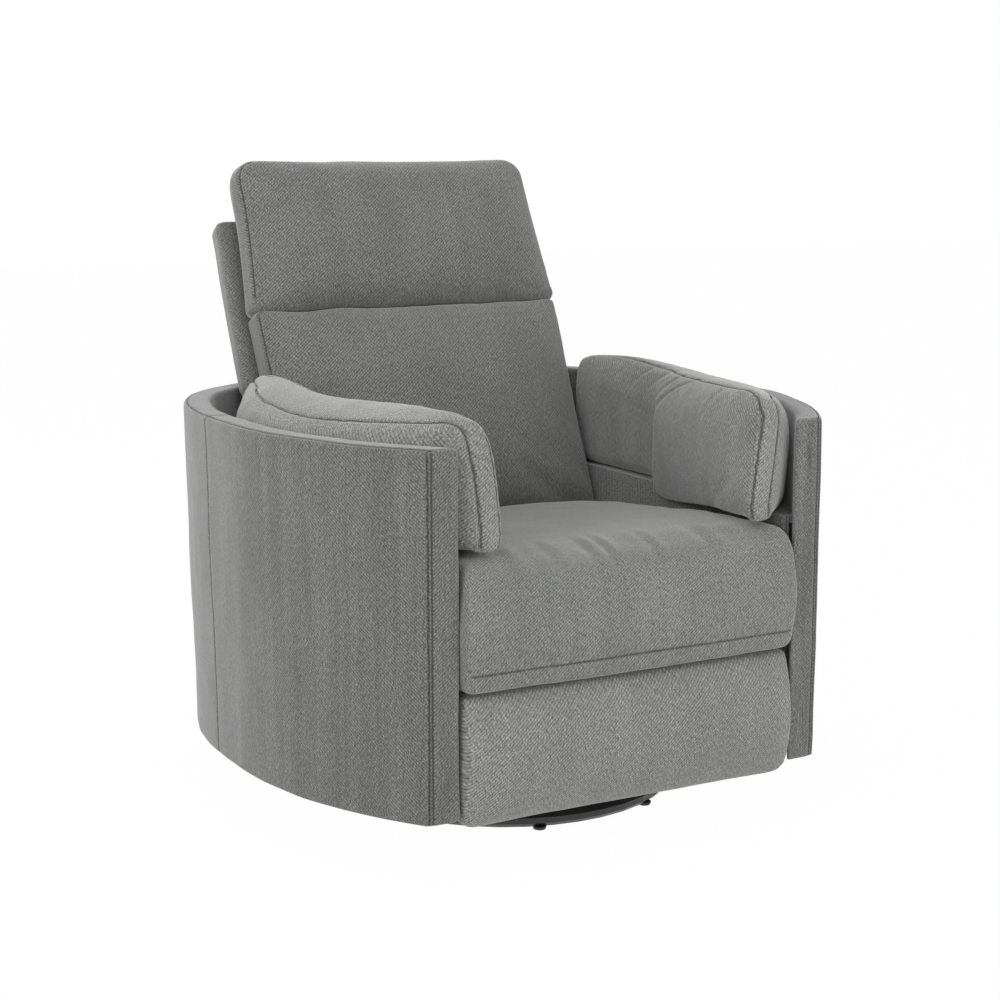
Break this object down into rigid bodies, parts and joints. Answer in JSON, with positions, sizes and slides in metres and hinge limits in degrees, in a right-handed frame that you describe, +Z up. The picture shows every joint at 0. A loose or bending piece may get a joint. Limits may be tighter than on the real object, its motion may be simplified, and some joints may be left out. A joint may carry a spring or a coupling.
{
  "type": "swivel glider recliner",
  "caption": "Upholstered barrel armchair on a ring base that swivels and glides, with a reclining back, loose arm pillows and a folding footrest.",
  "frame": {"origin": "on the floor, under the middle of the chair's outer box", "axes": "+Z up, -Y the way the sitter faces, +X to the sitter's left"},
  "size_m": [1.0156, 0.9398, 1.0405],
  "materials": {
    "chenille": "mid grey heathered chenille, brushed",
    "black_steel": "black satin powder coat",
    "zinc_steel": "zinc plated, dull",
    "spring_steel": "oiled spring wire",
    "plywood": "bare plywood",
    "black_plastic": "moulded, fine grain"
  },
  "bodies": {
    "base": {"base_ring": "black_steel", "base_cross": "black_steel", "hub_plate": "black_steel", "swivel_bearing": "zinc_steel", "swivel_pin": "zinc_steel", "floor_glide_1": "black_plastic", "floor_glide_2": "black_plastic", "floor_glide_3": "black_plastic", "floor_glide_4": "black_plastic", "floor_glide_5": "black_plastic", "floor_glide_6": "black_plastic", "floor_glide_7": "black_plastic", "floor_glide_8": "black_plastic"},
    "turntable": {"turntable_plate": "black_steel", "glider_bracket_left": "black_steel", "glider_bracket_right": "black_steel"},
    "front_glide_links": {"front_glide_link_left": "black_steel", "front_glide_link_right": "black_steel"},
    "rear_glide_links": {"rear_glide_link_left": "black_steel", "rear_glide_link_right": "black_steel"},
    "carriage": {"carriage_plate_left": "black_steel", "carriage_plate_right": "black_steel", "front_crossbar": "plywood", "rear_crossbar": "plywood", "slide_channel_left": "zinc_steel", "slide_channel_right": "zinc_steel", "shell_side_left": "chenille", "shell_side_right": "chenille", "shell_rear": "chenille", "arm_inner_board_left": "plywood", "arm_inner_board_right": "plywood", "arm_deck_left": "plywood", "arm_deck_right": "plywood", "arm_pillow_left": "chenille", "arm_pillow_right": "chenille", "release_bezel": "black_plastic"},
    "release_lever": {"release_lever": "black_plastic"},
    "seat": {"seat_runner_left": "zinc_steel", "seat_runner_right": "zinc_steel", "seat_side_rail_left": "black_steel", "seat_side_rail_right": "black_steel", "seat_front_rail": "black_steel", "seat_rear_rail": "black_steel", "seat_spring_1": "spring_steel", "seat_spring_2": "spring_steel", "seat_spring_3": "spring_steel", "seat_spring_4": "spring_steel", "seat_cushion": "chenille"},
    "back": {"back_frame": "chenille", "lumbar_cushion": "chenille", "head_cushion": "chenille", "back_hinge_left": "black_steel", "back_hinge_right": "black_steel"},
    "footrest_lower_links": {"footrest_lower_link_left": "black_steel", "footrest_lower_link_right": "black_steel"},
    "footrest_upper_links": {"footrest_upper_link_left": "black_steel", "footrest_upper_link_right": "black_steel"},
    "footrest": {"footrest_board": "plywood", "footrest_pad": "chenille"}
  },
  "joints": [
    {"name": "swivel", "type": "hinge", "parent": "base", "child": "turntable", "pos_m": [0, -0.06, 0.0349], "axis": [0, 0, 1], "continuous": true},
    {"name": "glide", "type": "hinge", "parent": "turntable", "child": "front_glide_links", "pos_m": [0, -0.19, 0.215], "axis": [1, 0, 0], "range_deg": [-18, 18]},
    {"name": "carriage_level", "type": "hinge", "parent": "front_glide_links", "child": "carriage", "pos_m": [0, -0.19, 0.085], "axis": [1, 0, 0], "range_deg": [-18, 18]},
    {"name": "rear_glide", "type": "hinge", "parent": "turntable", "child": "rear_glide_links", "pos_m": [0, 0.07, 0.215], "axis": [1, 0, 0], "range_deg": [-18, 18]},
    {"name": "recline", "type": "slide", "parent": "carriage", "child": "seat", "axis": [0, -1, 0], "range_m": [0, 0.15]},
    {"name": "back_tilt", "type": "hinge", "parent": "seat", "child": "back", "pos_m": [0, 0.095, 0.385], "axis": [-1, 0, 0], "range_deg": [0, 20]},
    {"name": "footrest_swing", "type": "hinge", "parent": "seat", "child": "footrest_lower_links", "pos_m": [0, -0.34, 0.262], "axis": [-1, 0, 0], "range_deg": [0, 80]},
    {"name": "footrest_unfold", "type": "hinge", "parent": "footrest_lower_links", "child": "footrest_upper_links", "pos_m": [0, -0.34, 0.092], "axis": [-1, 0, 0], "range_deg": [-120, 0]},
    {"name": "footrest_turn", "type": "hinge", "parent": "footrest_upper_links", "child": "footrest", "pos_m": [0, -0.38659, 0.26587], "axis": [-1, 0, 0], "range_deg": [0, 130]},
    {"name": "release", "type": "hinge", "parent": "carriage", "child": "release_lever", "pos_m": [-0.322, 0.043, 0.5026], "axis": [-1, 0, 0], "range_deg": [0, 12], "stiffness_Nm_per_rad": 0.6}
  ],
  "couplings": [
    {"joint": "carriage_level", "follows": "glide", "ratio": -1},
    {"joint": "rear_glide", "follows": "glide", "ratio": 1},
    {"joint": "back_tilt", "follows": "recline", "rad_per_m": 2.3271},
    {"joint": "footrest_unfold", "follows": "footrest_swing", "ratio": -1.5},
    {"joint": "footrest_turn", "follows": "footrest_swing", "ratio": 1.625}
  ]
}
